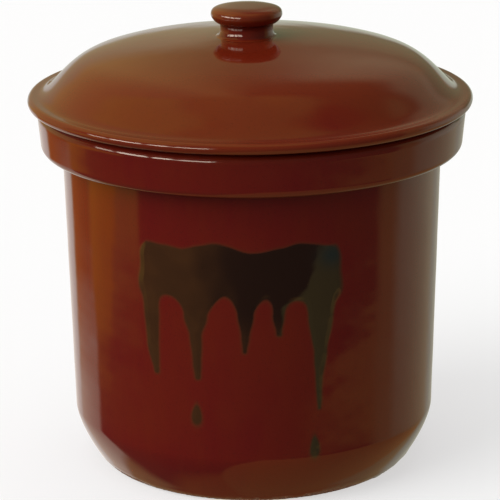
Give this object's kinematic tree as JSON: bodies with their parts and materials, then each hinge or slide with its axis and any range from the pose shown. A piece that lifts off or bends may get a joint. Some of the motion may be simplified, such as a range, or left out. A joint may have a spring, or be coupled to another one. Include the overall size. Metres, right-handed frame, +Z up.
{
  "type": "crock fermenter",
  "caption": "Straight-sided glazed stoneware fermenting crock with a thick collar, a domed lift-off lid with a turned knob, and half-moon weights inside.",
  "frame": {"origin": "centre of the crock's foot, on the plane it stands on", "axes": "+Z up along the turning axis, -Y towards the poured glaze runs on the front, +X to the right seen from the front"},
  "size_m": [0.27, 0.27, 0.282],
  "materials": {
    "crock_glaze": "glossy iron-red glaze with poured dark olive-black runs on the front, bare clay foot",
    "lid_glaze": "glossy iron-red glaze, bare clay bearing ring underneath",
    "knob_glaze": "glossy iron-red glaze",
    "weight_stoneware": "unglazed buff stoneware, fine speckle"
  },
  "bodies": {
    "crock": {"crock_body": "crock_glaze"},
    "lid": {"lid": "lid_glaze", "lid_knob": "knob_glaze"},
    "weight_left": {"weight_left": "weight_stoneware"},
    "weight_right": {"weight_right": "weight_stoneware"}
  },
  "joints": [
    {"name": "lid_lift", "type": "slide", "parent": "crock", "child": "lid", "axis": [0, 0, 1], "range_m": [0, 0.15]},
    {"name": "weight_left_lift", "type": "slide", "parent": "crock", "child": "weight_left", "axis": [0, 0, 1], "range_m": [0, 0.165]},
    {"name": "weight_right_lift", "type": "slide", "parent": "crock", "child": "weight_right", "axis": [0, 0, 1], "range_m": [0, 0.165]}
  ]
}
